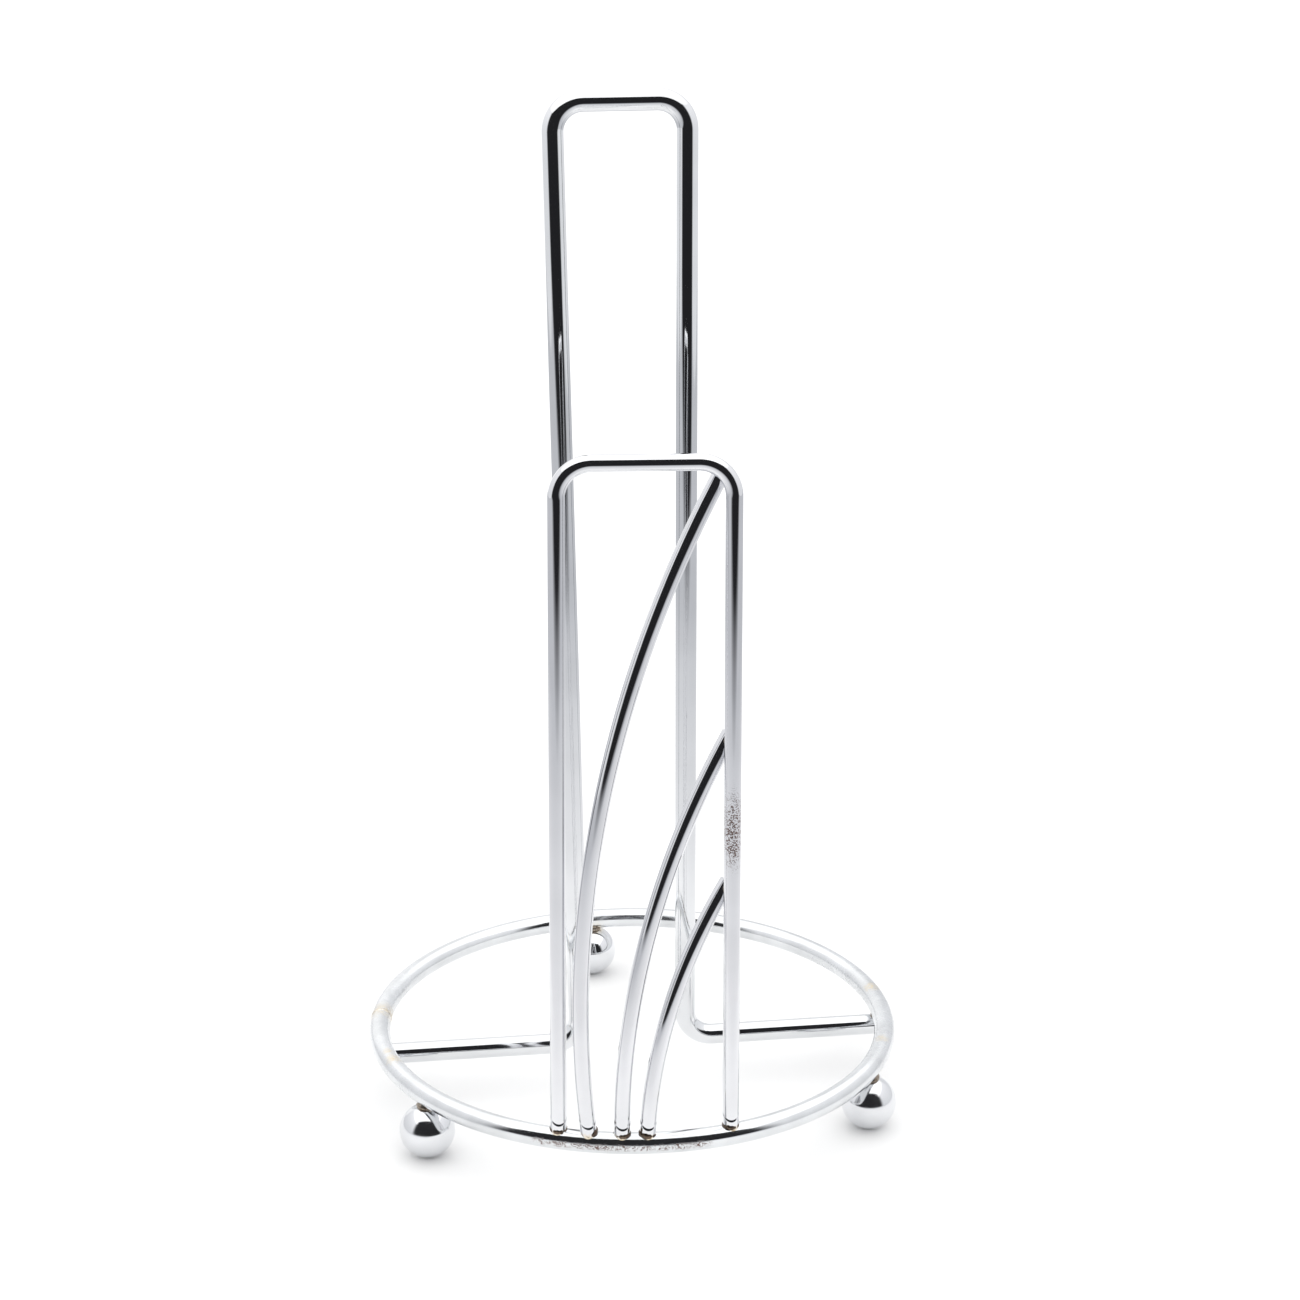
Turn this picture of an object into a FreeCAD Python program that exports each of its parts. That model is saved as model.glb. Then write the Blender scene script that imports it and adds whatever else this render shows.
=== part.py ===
import FreeCAD, Part
import math
import os

# Paper towel holder, welded from chromed steel wire. Millimetres, +Z up.
# The origin is the centre of the base ring, on the surface that the balls stand on.
# +X runs along the spindle's crossbar, -Y points to the front, where the guard stands.

Vector = FreeCAD.Vector

# ---- driving dimensions -------------------------------------------------------------

# stock
ring_wire = 6.35              # wire diameter of the base ring
spindle_wire = 6.35           # wire diameter of the spindle
guard_wire = 4.76             # wire diameter of the guard frame and its three curved wires
ball_diameter = 16.6
ball_flat = 3.0               # small flat on the underside of each ball

# overall sizes
ring_radius = 79.0            # base ring, to the middle of its wire
holder_height = 310.0         # floor to the top of the spindle
guard_height = 223.7          # floor to the top of the guard frame

# spindle: one wire, two crossbar halves and a tall narrow loop
spindle_top_width = 38.7      # between the middles of the legs at the top
spindle_foot_width = 33.5     # the same at the crossbar
spindle_lean = 3.5            # how far the loop's top stands towards -X from its foot
spindle_bend = 8.6            # bend radius, to the middle of the wire
crossbar_past_ring = 0.8      # how far each end runs past the middle of the ring's wire

# guard: a frame that stands on the front of the ring
guard_turn = -4.9             # degrees about Z that the guard is turned from straight ahead
guard_foot_width = 49.9       # between the middles of the legs, on the ring
guard_top_width = 47.9        # the same at the top
guard_bend = 9.6              # bend radius of the two top corners, to the middle of the wire

# the three curved wires: where each stands, where it crosses behind the right leg, how it bows
long_foot_offset = 9.0        # from the left leg, across the guard
middle_foot_offset = 18.3
short_foot_offset = 25.5
long_corner_angle = 37.8      # degrees round the right corner bend, from the leg
middle_top_height = 140.5     # above the floor, behind the right leg
short_top_height = 95.9
long_bow_radius = 330.0
middle_bow_radius = 236.0
short_bow_radius = 148.0

# balls under the ring, each angle in degrees about Z from +X
ball_angles = {"front_left": 211.5, "front_right": 328.2, "back": 92.6}

# welds
weld_set_down = 0.2           # how far a piece is pressed into the one it is welded to
lap_set_down = 0.12           # how far a curved wire is pressed into the back of the leg
wire_past_leg = 1.6           # how far a curved wire runs on past its weld to the leg
seam_angle = 170.7            # place of the ring's butt weld, degrees about Z from +X
seam_width = 1.4
seam_proud = 0.15             # how far the butt weld stands above the ring's wire
foot_bead_proud = 0.3         # how far the bead at a foot reaches past the wire
lap_bead_radius = 1.9         # bead between a curved wire and the back of the leg
crossbar_bead_radius = 2.7
ball_bead_radius = 3.3

# ---- sizes that follow from them ----------------------------------------------------

ring_r = ring_wire / 2
spindle_r = spindle_wire / 2
guard_r = guard_wire / 2
ball_r = ball_diameter / 2

ball_height = math.sqrt(ball_r ** 2 - (ball_flat / 2) ** 2)
ring_height = ball_height + ball_r + ring_r - weld_set_down
crossbar_height = ring_height - ring_r - spindle_r + weld_set_down
ring_top = ring_height + ring_r
guard_setback = math.sqrt(ring_radius ** 2 - (guard_foot_width / 2) ** 2)
guard_bar_height = guard_height - guard_r


# ---- helpers ------------------------------------------------------------------------

def unit(vector):
    """The same direction at length one."""
    return vector / vector.Length


def rounded_path(corners, bend):
    """Straight runs through the corners, with each inner corner rounded to the bend radius."""
    edges = []
    start = corners[0]
    for before, corner, after in zip(corners, corners[1:], corners[2:]):
        back = unit(before - corner)
        ahead = unit(after - corner)
        half_angle = back.getAngle(ahead) / 2
        tangent = bend / math.tan(half_angle)
        arc_start = corner + back * tangent
        arc_end = corner + ahead * tangent
        arc_middle = corner + unit(back + ahead) * (bend / math.sin(half_angle) - bend)
        edges.append(Part.LineSegment(start, arc_start).toShape())
        edges.append(Part.Arc(arc_start, arc_middle, arc_end).toShape())
        start = arc_end
    edges.append(Part.LineSegment(start, corners[-1]).toShape())
    return Part.Wire(edges)


def swept(path, radius):
    """A round wire of this radius along the path."""
    first = path.Edges[0]
    direction = first.tangentAt(first.FirstParameter)
    section = Part.Wire(Part.makeCircle(radius, first.valueAt(first.FirstParameter), direction))
    return path.makePipeShell([section], True, False)


def one_solid(shape):
    """The single solid of a cut, without the compound that the cut wraps it in."""
    if len(shape.Solids) != 1:
        raise ValueError("expected one solid, got %d" % len(shape.Solids))
    return shape.Solids[0]


def bead(centre, radius, neighbours, across=Vector(0, 0, 1)):
    """A weld bead: a blob round the joint that meets both pieces face to face.

    The direction across the joint is the blob's axis, so that its poles lie inside the two pieces."""
    blob = Part.makeSphere(radius, centre, across)
    return one_solid(blob.cut(neighbours))


def turned_about_z(point, angle):
    """The point turned about the holder's upright axis by an angle in degrees."""
    turn = FreeCAD.Rotation(Vector(0, 0, 1), angle)
    return turn.multVec(point)


def on_ring(angle, height):
    """A point above or below the middle of the ring's wire, at an angle in degrees."""
    return turned_about_z(Vector(ring_radius, 0, height), angle)


def on_guard(across, height):
    """A point in the guard's upright plane, across from its middle line."""
    return turned_about_z(Vector(across, -guard_setback, height), guard_turn)


# ---- base ring ----------------------------------------------------------------------

def ring_arc(radius, start_angle, sweep_angle):
    """A stretch of the ring with its own wire radius."""
    arc = Part.makeTorus(ring_radius, radius, Vector(0, 0, 0), Vector(0, 0, 1), 0, 360, sweep_angle)
    arc.rotate(Vector(0, 0, 0), Vector(0, 0, 1), start_angle)
    arc.translate(Vector(0, 0, ring_height))
    return arc


def make_base_ring():
    """The ring's wire, bent round until its two ends face each other across the seam."""
    seam_sweep = math.degrees(seam_width / ring_radius)
    ring = ring_arc(ring_r, seam_angle + seam_sweep / 2, 360 - seam_sweep)
    seam = ring_arc(ring_r + seam_proud, seam_angle - seam_sweep / 2, seam_sweep)
    return ring, seam


# ---- spindle ------------------------------------------------------------------------

def make_spindle():
    """One wire: crossbar, leg, top bar, leg, crossbar. The ring rests on the two crossbars."""
    reach = ring_radius + crossbar_past_ring
    foot = spindle_foot_width / 2
    top = spindle_top_width / 2
    bar_height = holder_height - spindle_r
    corners = [
        Vector(-reach, 0, crossbar_height),
        Vector(-foot, 0, crossbar_height),
        Vector(-top - spindle_lean, 0, bar_height),
        Vector(top - spindle_lean, 0, bar_height),
        Vector(foot, 0, crossbar_height),
        Vector(reach, 0, crossbar_height),
    ]
    return swept(rounded_path(corners, spindle_bend), spindle_r)


# ---- guard --------------------------------------------------------------------------

def on_leg(height):
    """The middle of the guard's right leg at a height."""
    share = (height - ring_height) / (guard_bar_height - ring_height)
    width = guard_foot_width + (guard_top_width - guard_foot_width) * share
    return on_guard(width / 2, height)


def make_guard_frame():
    """Two legs and a top bar in one wire, standing on top of the ring."""
    foot = guard_foot_width / 2
    top = guard_top_width / 2
    corners = [
        on_guard(-foot, ring_height),
        on_guard(-top, guard_bar_height),
        on_guard(top, guard_bar_height),
        on_guard(foot, ring_height),
    ]
    return swept(rounded_path(corners, guard_bend), guard_r)


def foot_on_ring(offset):
    """Where a curved wire stands: on the ring, this far across from the left leg."""
    across = offset - guard_foot_width / 2
    angle = math.degrees(math.asin(across / ring_radius))
    return on_ring(guard_turn - 90 + angle, ring_height)


def corner_point(angle):
    """A point on the middle of the right corner bend, at an angle up from the leg's side."""
    lean = math.atan2(guard_foot_width - guard_top_width, 2 * (guard_bar_height - ring_height))
    leg_turn = math.pi / 2 + lean
    tangent = guard_bend * math.tan(leg_turn / 2 - lean)
    centre_across = guard_top_width / 2 - tangent
    centre_height = guard_bar_height - guard_bend
    along = math.radians(angle)
    across = centre_across + guard_bend * math.cos(along)
    return on_guard(across, centre_height + guard_bend * math.sin(along))


def lapped_top(foot, leg_point):
    """The middle of a curved wire where it passes behind the leg and touches it."""
    apart = 2 * guard_r - lap_set_down
    towards_leg = Vector(leg_point.x - foot.x, leg_point.y - foot.y, 0)
    aside = math.degrees(math.asin(apart / towards_leg.Length))
    level = turned_about_z(unit(towards_leg), aside)
    reach = math.sqrt(towards_leg.Length ** 2 - apart ** 2)
    return Vector(foot.x, foot.y, leg_point.z) + level * reach


def bowed_path(foot, top, bow_radius):
    """An arc from the foot to just past the top, in an upright plane, bowed up and outwards."""
    chord = top - foot
    along = unit(chord)
    level = unit(Vector(chord.x, chord.y, 0))
    outwards = unit(Vector(0, 0, 1) - level * (chord.z / chord.dot(level)))
    middle = foot + chord / 2
    centre = middle - outwards * math.sqrt(bow_radius ** 2 - (chord.Length / 2) ** 2)
    half_angle = math.asin(chord.Length / 2 / bow_radius)
    end_angle = half_angle + wire_past_leg / bow_radius

    def arc_point(angle):
        return centre + along * (bow_radius * math.sin(angle)) + outwards * (bow_radius * math.cos(angle))

    middle_angle = (end_angle - half_angle) / 2
    arc = Part.Arc(arc_point(-half_angle), arc_point(middle_angle), arc_point(end_angle))
    return Part.Wire([arc.toShape()])


# ---- ball feet ----------------------------------------------------------------------

def make_ball(angle):
    """A ball that the ring rests on, with a small flat where it meets the floor."""
    centre = on_ring(angle, ball_height)
    ball = Part.makeSphere(ball_r, centre)
    floor_block = Part.makeBox(ball_diameter, ball_diameter, ball_r)
    floor_block.translate(Vector(centre.x - ball_r, centre.y - ball_r, -ball_r))
    return one_solid(ball.cut(floor_block))


# ---- the whole holder ---------------------------------------------------------------

def make_nodes():
    nodes = {}
    ring, seam = make_base_ring()
    whole_ring = ring_arc(ring_r, 0, 360)
    nodes["base_ring"] = ring
    nodes["ring_seam_weld"] = seam

    spindle = one_solid(make_spindle().cut(whole_ring))
    nodes["spindle_wire"] = spindle
    for side, angle in (("left", 180), ("right", 0)):
        joint = on_ring(angle, ring_height - ring_r + weld_set_down / 2)
        nodes["crossbar_weld_" + side] = bead(joint, crossbar_bead_radius, [whole_ring, spindle])

    frame = one_solid(make_guard_frame().cut(whole_ring))
    nodes["guard_frame"] = frame
    leg_angle = math.degrees(math.asin(guard_foot_width / 2 / ring_radius))
    foot_bead_radius = guard_r + foot_bead_proud
    for side, angle in (("left", -leg_angle), ("right", leg_angle)):
        joint = on_ring(guard_turn - 90 + angle, ring_top)
        nodes["guard_foot_weld_" + side] = bead(joint, foot_bead_radius, [whole_ring, frame])

    curved_wires = (
        ("long", long_foot_offset, corner_point(long_corner_angle), long_bow_radius),
        ("middle", middle_foot_offset, on_leg(middle_top_height), middle_bow_radius),
        ("short", short_foot_offset, on_leg(short_top_height), short_bow_radius),
    )
    for name, foot_offset, leg_point, bow_radius in curved_wires:
        foot = foot_on_ring(foot_offset)
        top = lapped_top(foot, leg_point)
        path = bowed_path(foot, top, bow_radius)
        wire = one_solid(swept(path, guard_r).cut([whole_ring, frame]))
        nodes["guard_wire_" + name] = wire
        joint = foot + Vector(0, 0, ring_r)
        nodes["guard_wire_foot_weld_" + name] = bead(joint, foot_bead_radius, [whole_ring, wire])
        lap = (leg_point + top) / 2
        nodes["guard_wire_top_weld_" + name] = bead(lap, lap_bead_radius, [frame, wire], top - leg_point)

    for place, angle in ball_angles.items():
        ball = one_solid(make_ball(angle).cut(whole_ring))
        nodes["ball_foot_" + place] = ball
        joint = on_ring(angle, ring_height - ring_r + weld_set_down / 2)
        nodes["ball_weld_" + place] = bead(joint, ball_bead_radius, [whole_ring, ball])
    return nodes


os.makedirs("parts", exist_ok=True)
for node_name, node_shape in make_nodes().items():
    node_shape.exportStep("parts/" + node_name + ".step")
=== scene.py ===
import math
import random

import bpy
import numpy as np
from mathutils import Matrix, Vector


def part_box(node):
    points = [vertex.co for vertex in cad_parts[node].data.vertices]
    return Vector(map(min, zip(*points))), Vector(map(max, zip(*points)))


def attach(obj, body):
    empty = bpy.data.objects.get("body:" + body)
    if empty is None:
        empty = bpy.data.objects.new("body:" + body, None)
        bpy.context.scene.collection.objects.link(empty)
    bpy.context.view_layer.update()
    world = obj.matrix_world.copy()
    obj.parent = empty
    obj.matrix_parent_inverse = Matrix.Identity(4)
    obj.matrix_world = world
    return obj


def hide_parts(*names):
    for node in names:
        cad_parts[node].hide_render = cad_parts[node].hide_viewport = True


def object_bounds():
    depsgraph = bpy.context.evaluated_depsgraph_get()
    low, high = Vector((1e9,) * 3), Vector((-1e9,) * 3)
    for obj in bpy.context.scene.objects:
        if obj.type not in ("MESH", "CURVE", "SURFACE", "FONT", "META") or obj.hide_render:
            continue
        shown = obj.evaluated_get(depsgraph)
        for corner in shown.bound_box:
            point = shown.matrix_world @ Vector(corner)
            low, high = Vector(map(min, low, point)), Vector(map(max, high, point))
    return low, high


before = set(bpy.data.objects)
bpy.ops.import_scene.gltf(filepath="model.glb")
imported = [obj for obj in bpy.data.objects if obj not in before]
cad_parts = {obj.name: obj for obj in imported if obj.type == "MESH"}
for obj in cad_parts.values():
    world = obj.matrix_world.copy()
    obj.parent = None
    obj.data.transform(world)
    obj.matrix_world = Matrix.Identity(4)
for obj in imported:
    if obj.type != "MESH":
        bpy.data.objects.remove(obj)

# The looks of the chromed wire paper towel holder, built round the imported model. Metres, +Z up.
# Every wire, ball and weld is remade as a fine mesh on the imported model's own middle lines.

mm = 0.001
cad_low, cad_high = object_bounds()

# ---- camera ------------------------------------------------------------------

view_azimuth = math.radians(8.0)       # the camera stands this far round to the left
view_elevation = math.radians(18.94)
view_roll = math.radians(0.10)
view_distance = 0.869
view_lens = 80.1
aim_height_share = 0.4603              # of the holder's height
aim_right = 5.35 * mm
near_clip = 10 * mm

# ---- mesh fineness -----------------------------------------------------------

wire_sides = 56
straight_step = 3 * mm
bend_step = math.radians(3)
long_bow_step = math.radians(1)
ring_step = math.radians(1)
arc_points_per_row = 8                 # a middle line is this much finer than the rows of its mesh
seam_rows = 12
cope_rows = 4                          # rows between a coped end and the first square row
cope_clear = 0.4                       # how far the first square row keeps off the cope, in radii
row_gap = 1e-6
cap_shares = (0.7, 0.35)               # radii of the loops inside an end face
cap_map_scale = 0.1                    # an end face's map is this small, so its streaks are broad
sharp_angle = math.radians(38)
ball_sides = 72
ball_rows = 44
flat_loops = (0.75, 0.4)               # radii of the loops inside a ball's flat
bead_columns = 60
bead_rows = 10
bead_inner_rows = 3

# ---- finding where pieces meet -----------------------------------------------

nudge = 0.01 * mm                      # the step over which a gap's slope is measured
halvings = 30                          # enough to place a point to well under a thousandth of a wire
end_halvings = 36
trim_rounds = 6
push_rounds = 3
end_reach = 12 * mm                    # how far from a wire's end its neighbour is looked for
near_reach = 15 * mm                   # how much of a wire counts at a joint
lap_steps = 481
rise_limit = 80                        # degrees to each side of a bead's middle
rise_steps = 321
depth_steps = 200
leg_shares = (0.3, 0.8)                # heights at which legs and curved wires are measured
bow_shares = (0.2, 0.5, 0.8)
ball_share = 0.85                      # below this share of its height a ball is a true sphere

# ---- wear --------------------------------------------------------------------

ball_heat_reach = 4.0 * mm             # how far a ball weld's tint spreads, and how strong each is
ball_heat = {"front_left": 0.2, "front_right": 0.2, "back": 0.7}
seam_heat_reach = 5.0 * mm
ring_stains = ((6.0, 2.6 * mm), (-21.0, 2.0 * mm), (192.0, 1.6 * mm), (196.0, 2.6 * mm))
stain_strength = 0.6                   # the seam and the stains are paler than the welds
frosted_over = (40 * mm, 70 * mm)      # a satin finish grows frosted over these distances sideways
burnt_height = 2.2 * mm                # how far the tint climbs a wire that stands on the ring
upset_height = 2.9 * mm                # where such a wire swells towards its weld
upset_length = 1.1 * mm
upset_proud = 0.27 * mm
upset_slant = 2.2 * mm                 # how much higher the swelling starts at the wire's sides
leg_pits_share = 0.515                 # height of the pitted patch on the guard's right leg
leg_pits_reach = (3 * mm, 3 * mm, 9 * mm)
ring_pits_degrees = (-116, -83, 4)     # the worn underside of the ring at the front
ring_pits_reach = (3.5 * mm, 2.2 * mm, 1.0 * mm)
leg_pits_forward = 2 * mm
ring_pits_outward = 1.035              # the pits' middle, as a share of the ring's radius
seam_waves = ((3, 0.25, 0.7), (7, 0.15, 2.1))    # count round the wire, size and turn of each
seam_fullness = 0.6                    # the power that rounds the seam's outline
bead_uneven = 0.09                     # how far a bead's outline strays, as a share of its radius
bead_bulge = 0.06
outline_waves = (1, 2, 3, 5, 8, 13)
swell_waves = (2, 5, 9, 14)
wave_turn = 6.28


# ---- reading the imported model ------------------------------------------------

def cad_points(node):
    """The CAD node's mesh points."""
    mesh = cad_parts[node].data
    return np.array([vertex.co for vertex in mesh.vertices])


def cross_section(node, height, side):
    """Middle and radius of a wire where a CAD node crosses a height.

    A side of -1 or 1 takes only what lies left or right of the node's middle.
    """
    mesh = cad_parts[node].data
    points = cad_points(node)
    ends = np.array([edge.vertices for edge in mesh.edges])
    a = points[ends[:, 0]]
    b = points[ends[:, 1]]
    crossing = (a[:, 2] - height) * (b[:, 2] - height) < 0
    a = a[crossing]
    b = b[crossing]
    share = (height - a[:, 2]) / (b[:, 2] - a[:, 2])
    cut = (a + (b - a) * share[:, None])[:, :2]
    if side:
        low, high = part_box(node)
        cut = cut[(cut[:, 0] - (low.x + high.x) / 2) * side > 0]
    about = cut - cut.mean(0)
    loop = about[np.argsort(np.arctan2(about[:, 1], about[:, 0]))]
    following = np.roll(loop, -1, axis=0)
    area = loop[:, 0] * following[:, 1] - loop[:, 1] * following[:, 0]
    middle = ((loop + following) * area[:, None]).sum(0) / (3 * area.sum())
    radius = np.linalg.norm(loop - middle, axis=1).max()
    middle += cut.mean(0)
    return np.array([middle[0], middle[1], height]), radius


def leg_line(node, side):
    """Two points on the middle of a leg, and the leg's radius."""
    low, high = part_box(node)
    cuts = [cross_section(node, low.z + share * (high.z - low.z), side) for share in leg_shares]
    return cuts[0][0], cuts[1][0], cuts[1][1]


def at_height(lower, upper, height):
    """The point at a height on the line through two points."""
    share = (height - lower[2]) / (upper[2] - lower[2])
    return lower + (upper - lower) * share


def unit(vector):
    """The vector at length 1."""
    return vector / np.linalg.norm(vector)


def bend_radius(node, before, corner, after, wire_radius):
    """The bend that rounds a corner, from how far the corner stands off the CAD node's surface."""
    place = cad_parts[node].closest_point_on_mesh(Vector(corner))[1]
    off = np.linalg.norm(np.array(place) - corner)
    half = math.acos(float(unit(before - corner) @ unit(after - corner))) / 2
    return (off + wire_radius) / (1 / math.sin(half) - 1)


# ---- middle lines ------------------------------------------------------------

class Path:
    """The middle line of a wire bent in one plane, by distance along it."""

    def __init__(self, normal):
        self.normal = unit(np.array(normal, float))
        self.points = []
        self.tangents = []
        self.stations = []             # distances at which the wire's mesh has a row

    def add(self, points, tangents, rows):
        """A stretch of finely spaced points, with a number of rows of the mesh spaced evenly on it."""
        start = self.length() if self.points else 0.0
        for point, tangent in zip(points, tangents):
            self.points.append(np.array(point, float))
            self.tangents.append(unit(np.array(tangent, float)))
        end = self.length()
        self.stations += list(np.linspace(start, end, rows + 1))
        self.stations = sorted(set(np.round(self.stations, 9)))

    def length(self):
        points = np.array(self.points)
        return float(np.linalg.norm(np.diff(points, axis=0), axis=1).sum())

    def line(self, start, end):
        length = np.linalg.norm(end - start)
        self.add([start, end], [end - start] * 2, math.ceil(length / straight_step))

    def arc(self, centre, first, ahead, angle, step):
        """An arc about centre; first points from the centre to its start and ahead along its start."""
        radius = np.linalg.norm(first)
        outwards = first / radius
        rows = math.ceil(angle / step)
        turns = np.linspace(0, angle, 1 + arc_points_per_row * rows)
        points = [centre + radius * (outwards * math.cos(t) + ahead * math.sin(t)) for t in turns]
        tangents = [ahead * math.cos(t) - outwards * math.sin(t) for t in turns]
        self.add(points, tangents, rows)

    def freeze(self):
        """Keeps the finished line as arrays, with the distance of each point."""
        points = np.array(self.points)
        steps = np.linalg.norm(np.diff(points, axis=0), axis=1)
        self.places = points
        self.directions = np.array(self.tangents)
        self.distances = np.concatenate([[0], np.cumsum(steps)])
        return self

    def at(self, distance):
        """Middle, direction and the direction across both it and the normal, at distances along the wire."""
        middle = self._mixed(self.places, distance)
        tangent = self._mixed(self.directions, distance)
        tangent /= np.linalg.norm(tangent, axis=-1, keepdims=True)
        across = np.cross(np.broadcast_to(self.normal, tangent.shape), tangent)
        return middle, tangent, across

    def _mixed(self, values, distance):
        columns = [np.interp(distance, self.distances, values[:, k]) for k in range(3)]
        return np.stack(columns, axis=-1)

    def surface(self, distance, angle, radius):
        """Points at a radius from the middle line."""
        middle, _, across = self.at(distance)
        sideways = across * np.cos(angle)[..., None] + self.normal * np.sin(angle)[..., None]
        return middle + sideways * np.asarray(radius)[..., None]


def rounded_path(corners, bend, normal):
    """Straight runs through the corners, each inner corner rounded."""
    path = Path(normal)
    start = corners[0]
    for before, corner, after in zip(corners, corners[1:], corners[2:]):
        back = unit(before - corner)
        ahead = unit(after - corner)
        half = math.acos(float(back @ ahead)) / 2
        tangent = bend / math.tan(half)
        arc_start = corner + back * tangent
        centre = corner + unit(back + ahead) * (bend / math.sin(half))
        path.line(start, arc_start)
        path.arc(centre, arc_start - centre, -back, math.pi - 2 * half, bend_step)
        start = corner + ahead * tangent
    path.line(start, corners[-1])
    return path.freeze()


def bow_path(low, middle, high, from_height, top, wire_radius):
    """An upright arc through three points, from a height to where its cut end reaches the top."""
    level = unit(np.array([high[0] - low[0], high[1] - low[1], 0.0]))
    flat = [np.array([(p - low) @ level, p[2]]) for p in (low, middle, high)]
    rows = np.array([2 * (flat[1] - flat[0]), 2 * (flat[2] - flat[0])])
    sums = np.array([flat[k] @ flat[k] - flat[0] @ flat[0] for k in (1, 2)])
    centre = np.linalg.solve(rows, sums)
    radius = np.linalg.norm(flat[0] - centre)

    def angle_at(height):
        return math.pi - math.asin((height - centre[1]) / radius)

    start = angle_at(from_height)
    end = angle_at(top)
    for _ in range(trim_rounds):
        end = angle_at(top - wire_radius * abs(math.sin(end)))
    centre = low + level * centre[0] + np.array([0, 0, centre[1] - low[2]])
    first = radius * (level * math.cos(start) + np.array([0, 0, math.sin(start)]))
    ahead = level * math.sin(start) - np.array([0, 0, math.cos(start)])
    path = Path(np.cross(level, [0, 0, 1]))
    path.arc(centre, first, ahead, start - end, long_bow_step)
    return path.freeze()


# ---- distances to the wires and balls ----------------------------------------

def path_gap(path, radius, near=None):
    """A function that says how far points stand outside a wire, or outside its stretch near a place."""
    starts = path.places[:-1]
    runs = path.places[1:] - starts
    keep = (runs ** 2).sum(-1) > 0
    starts = starts[keep]
    runs = runs[keep]

    def squares(points):
        """Squared distances from points to each short run of the middle line."""
        offset = points[..., None, :] - starts
        share = np.clip((offset * runs).sum(-1) / (runs ** 2).sum(-1), 0, 1)
        return ((offset - share[..., None] * runs) ** 2).sum(-1)

    if near is not None:
        keep = squares(near) < near_reach ** 2
        starts = starts[keep]
        runs = runs[keep]
    return lambda points: np.sqrt(squares(points).min(-1)) - radius


def ball_gap(centre, radius):
    """A function that says how far points stand outside a ball."""
    return lambda points: np.linalg.norm(points - centre, axis=-1) - radius


def gap_rise(gap, points):
    """How much a gap grows along x, y and z, over two nudges."""
    return np.stack([gap(points + step) - gap(points - step) for step in np.eye(3) * nudge], axis=-1)


def pulled_in(points, anchors, gap):
    """Points that lie inside a neighbour, drawn towards their anchors until they touch it."""
    inside = gap(points) < 0
    start = points[inside]
    way = anchors[inside] - start
    low = np.zeros(len(start))
    high = np.ones(len(start))
    for _ in range(halvings):
        half = (low + high) / 2
        sunk = gap(start + way * half[:, None]) < 0
        low = np.where(sunk, half, low)
        high = np.where(sunk, high, half)
    points = points.copy()
    points[inside] = start + way * high[:, None]
    return points


def pushed_out(points, gaps):
    """Points moved the shortest way out of the neighbours that they lie inside."""
    for gap in gaps * push_rounds:
        depth = np.minimum(gap(points), 0)
        slope = gap_rise(gap, points) / (2 * nudge)
        points = points - slope * depth[..., None]
    return points


# ---- meshes ------------------------------------------------------------------

def name_of_node(name):
    """A piece carries the name of the CAD node that it stands for, and a word after it."""
    return name.rsplit(".", 1)[0]


def new_piece(name, points, faces, uvs, material):
    """A smooth mesh that stands for a CAD node."""
    node = name_of_node(name)
    mesh = bpy.data.meshes.new(name)
    mesh.from_pydata(np.asarray(points).tolist(), [], faces)
    mesh.shade_smooth()
    mesh.set_sharp_from_angle(angle=sharp_angle)
    layer = mesh.uv_layers.new(name="wire")
    layer.data.foreach_set("uv", np.array(uvs, np.float32).ravel())
    for label, strength_at in (("weld_tint", heat_at), ("pitting", pitting_at)):
        strength = mesh.attributes.new(label, "FLOAT", "POINT")
        strength.data.foreach_set("value", strength_at(np.array(points)).astype(np.float32))
    mesh.materials.append(material)
    piece = bpy.data.objects.new(name, mesh)
    bpy.context.scene.collection.objects.link(piece)
    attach(piece, "root")
    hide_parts(node)
    return piece


def heat_at(points):
    """How strongly the welds' tint shows at points, from 0 to 1."""
    total = np.zeros(len(points))
    for place, reach, strength in hot_places:
        nearness = np.exp(-(np.linalg.norm(points - place, axis=1) / reach) ** 2)
        total = np.maximum(total, nearness * strength)
    return total


def pitting_at(points):
    """How strongly old pitting shows at points, from 0 to 1."""
    total = np.zeros(len(points))
    for place, reach in pitted_places:
        total = np.maximum(total, np.exp(-((np.abs(points - place) / reach) ** 2).sum(1)))
    return total


def end_distances(path, radius, angles, gap, at_end):
    """Where along the wire a line on its surface leaves the neighbour that it stands against."""
    length = path.distances[-1]
    reach = min(length, end_reach)
    inside = np.full(angles.shape, length if at_end else 0.0)
    outside = np.full(angles.shape, length - reach if at_end else reach)
    for _ in range(end_halvings):
        half = (inside + outside) / 2
        sunk = gap(path.surface(half, angles, np.full(angles.shape, radius))) < 0
        inside = np.where(sunk, half, inside)
        outside = np.where(sunk, outside, half)
    return outside


def wire_rows(path, radius, angles, gaps):
    """The distances of the mesh's rows, one column for each angle."""
    length = path.distances[-1]
    rows = []
    first = np.zeros(angles.shape)
    last = np.full(angles.shape, length)
    if gaps[0]:
        first = end_distances(path, radius, angles, gaps[0], False)
    if gaps[1]:
        last = end_distances(path, radius, angles, gaps[1], True)
    low = first.max() + cope_clear * radius * bool(gaps[0])
    high = last.min() - cope_clear * radius * bool(gaps[1])
    square = [s for s in path.stations if low + row_gap < s < high - row_gap]
    if gaps[0]:
        rows += [first + (low - first) * k / cope_rows for k in range(cope_rows)]
    rows.append(np.full(angles.shape, low))
    rows += [np.full(angles.shape, s) for s in square]
    rows.append(np.full(angles.shape, high))
    if gaps[1]:
        rows += [high + (last - high) * (k + 1) / cope_rows for k in range(cope_rows)]
    return np.array(rows)


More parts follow.
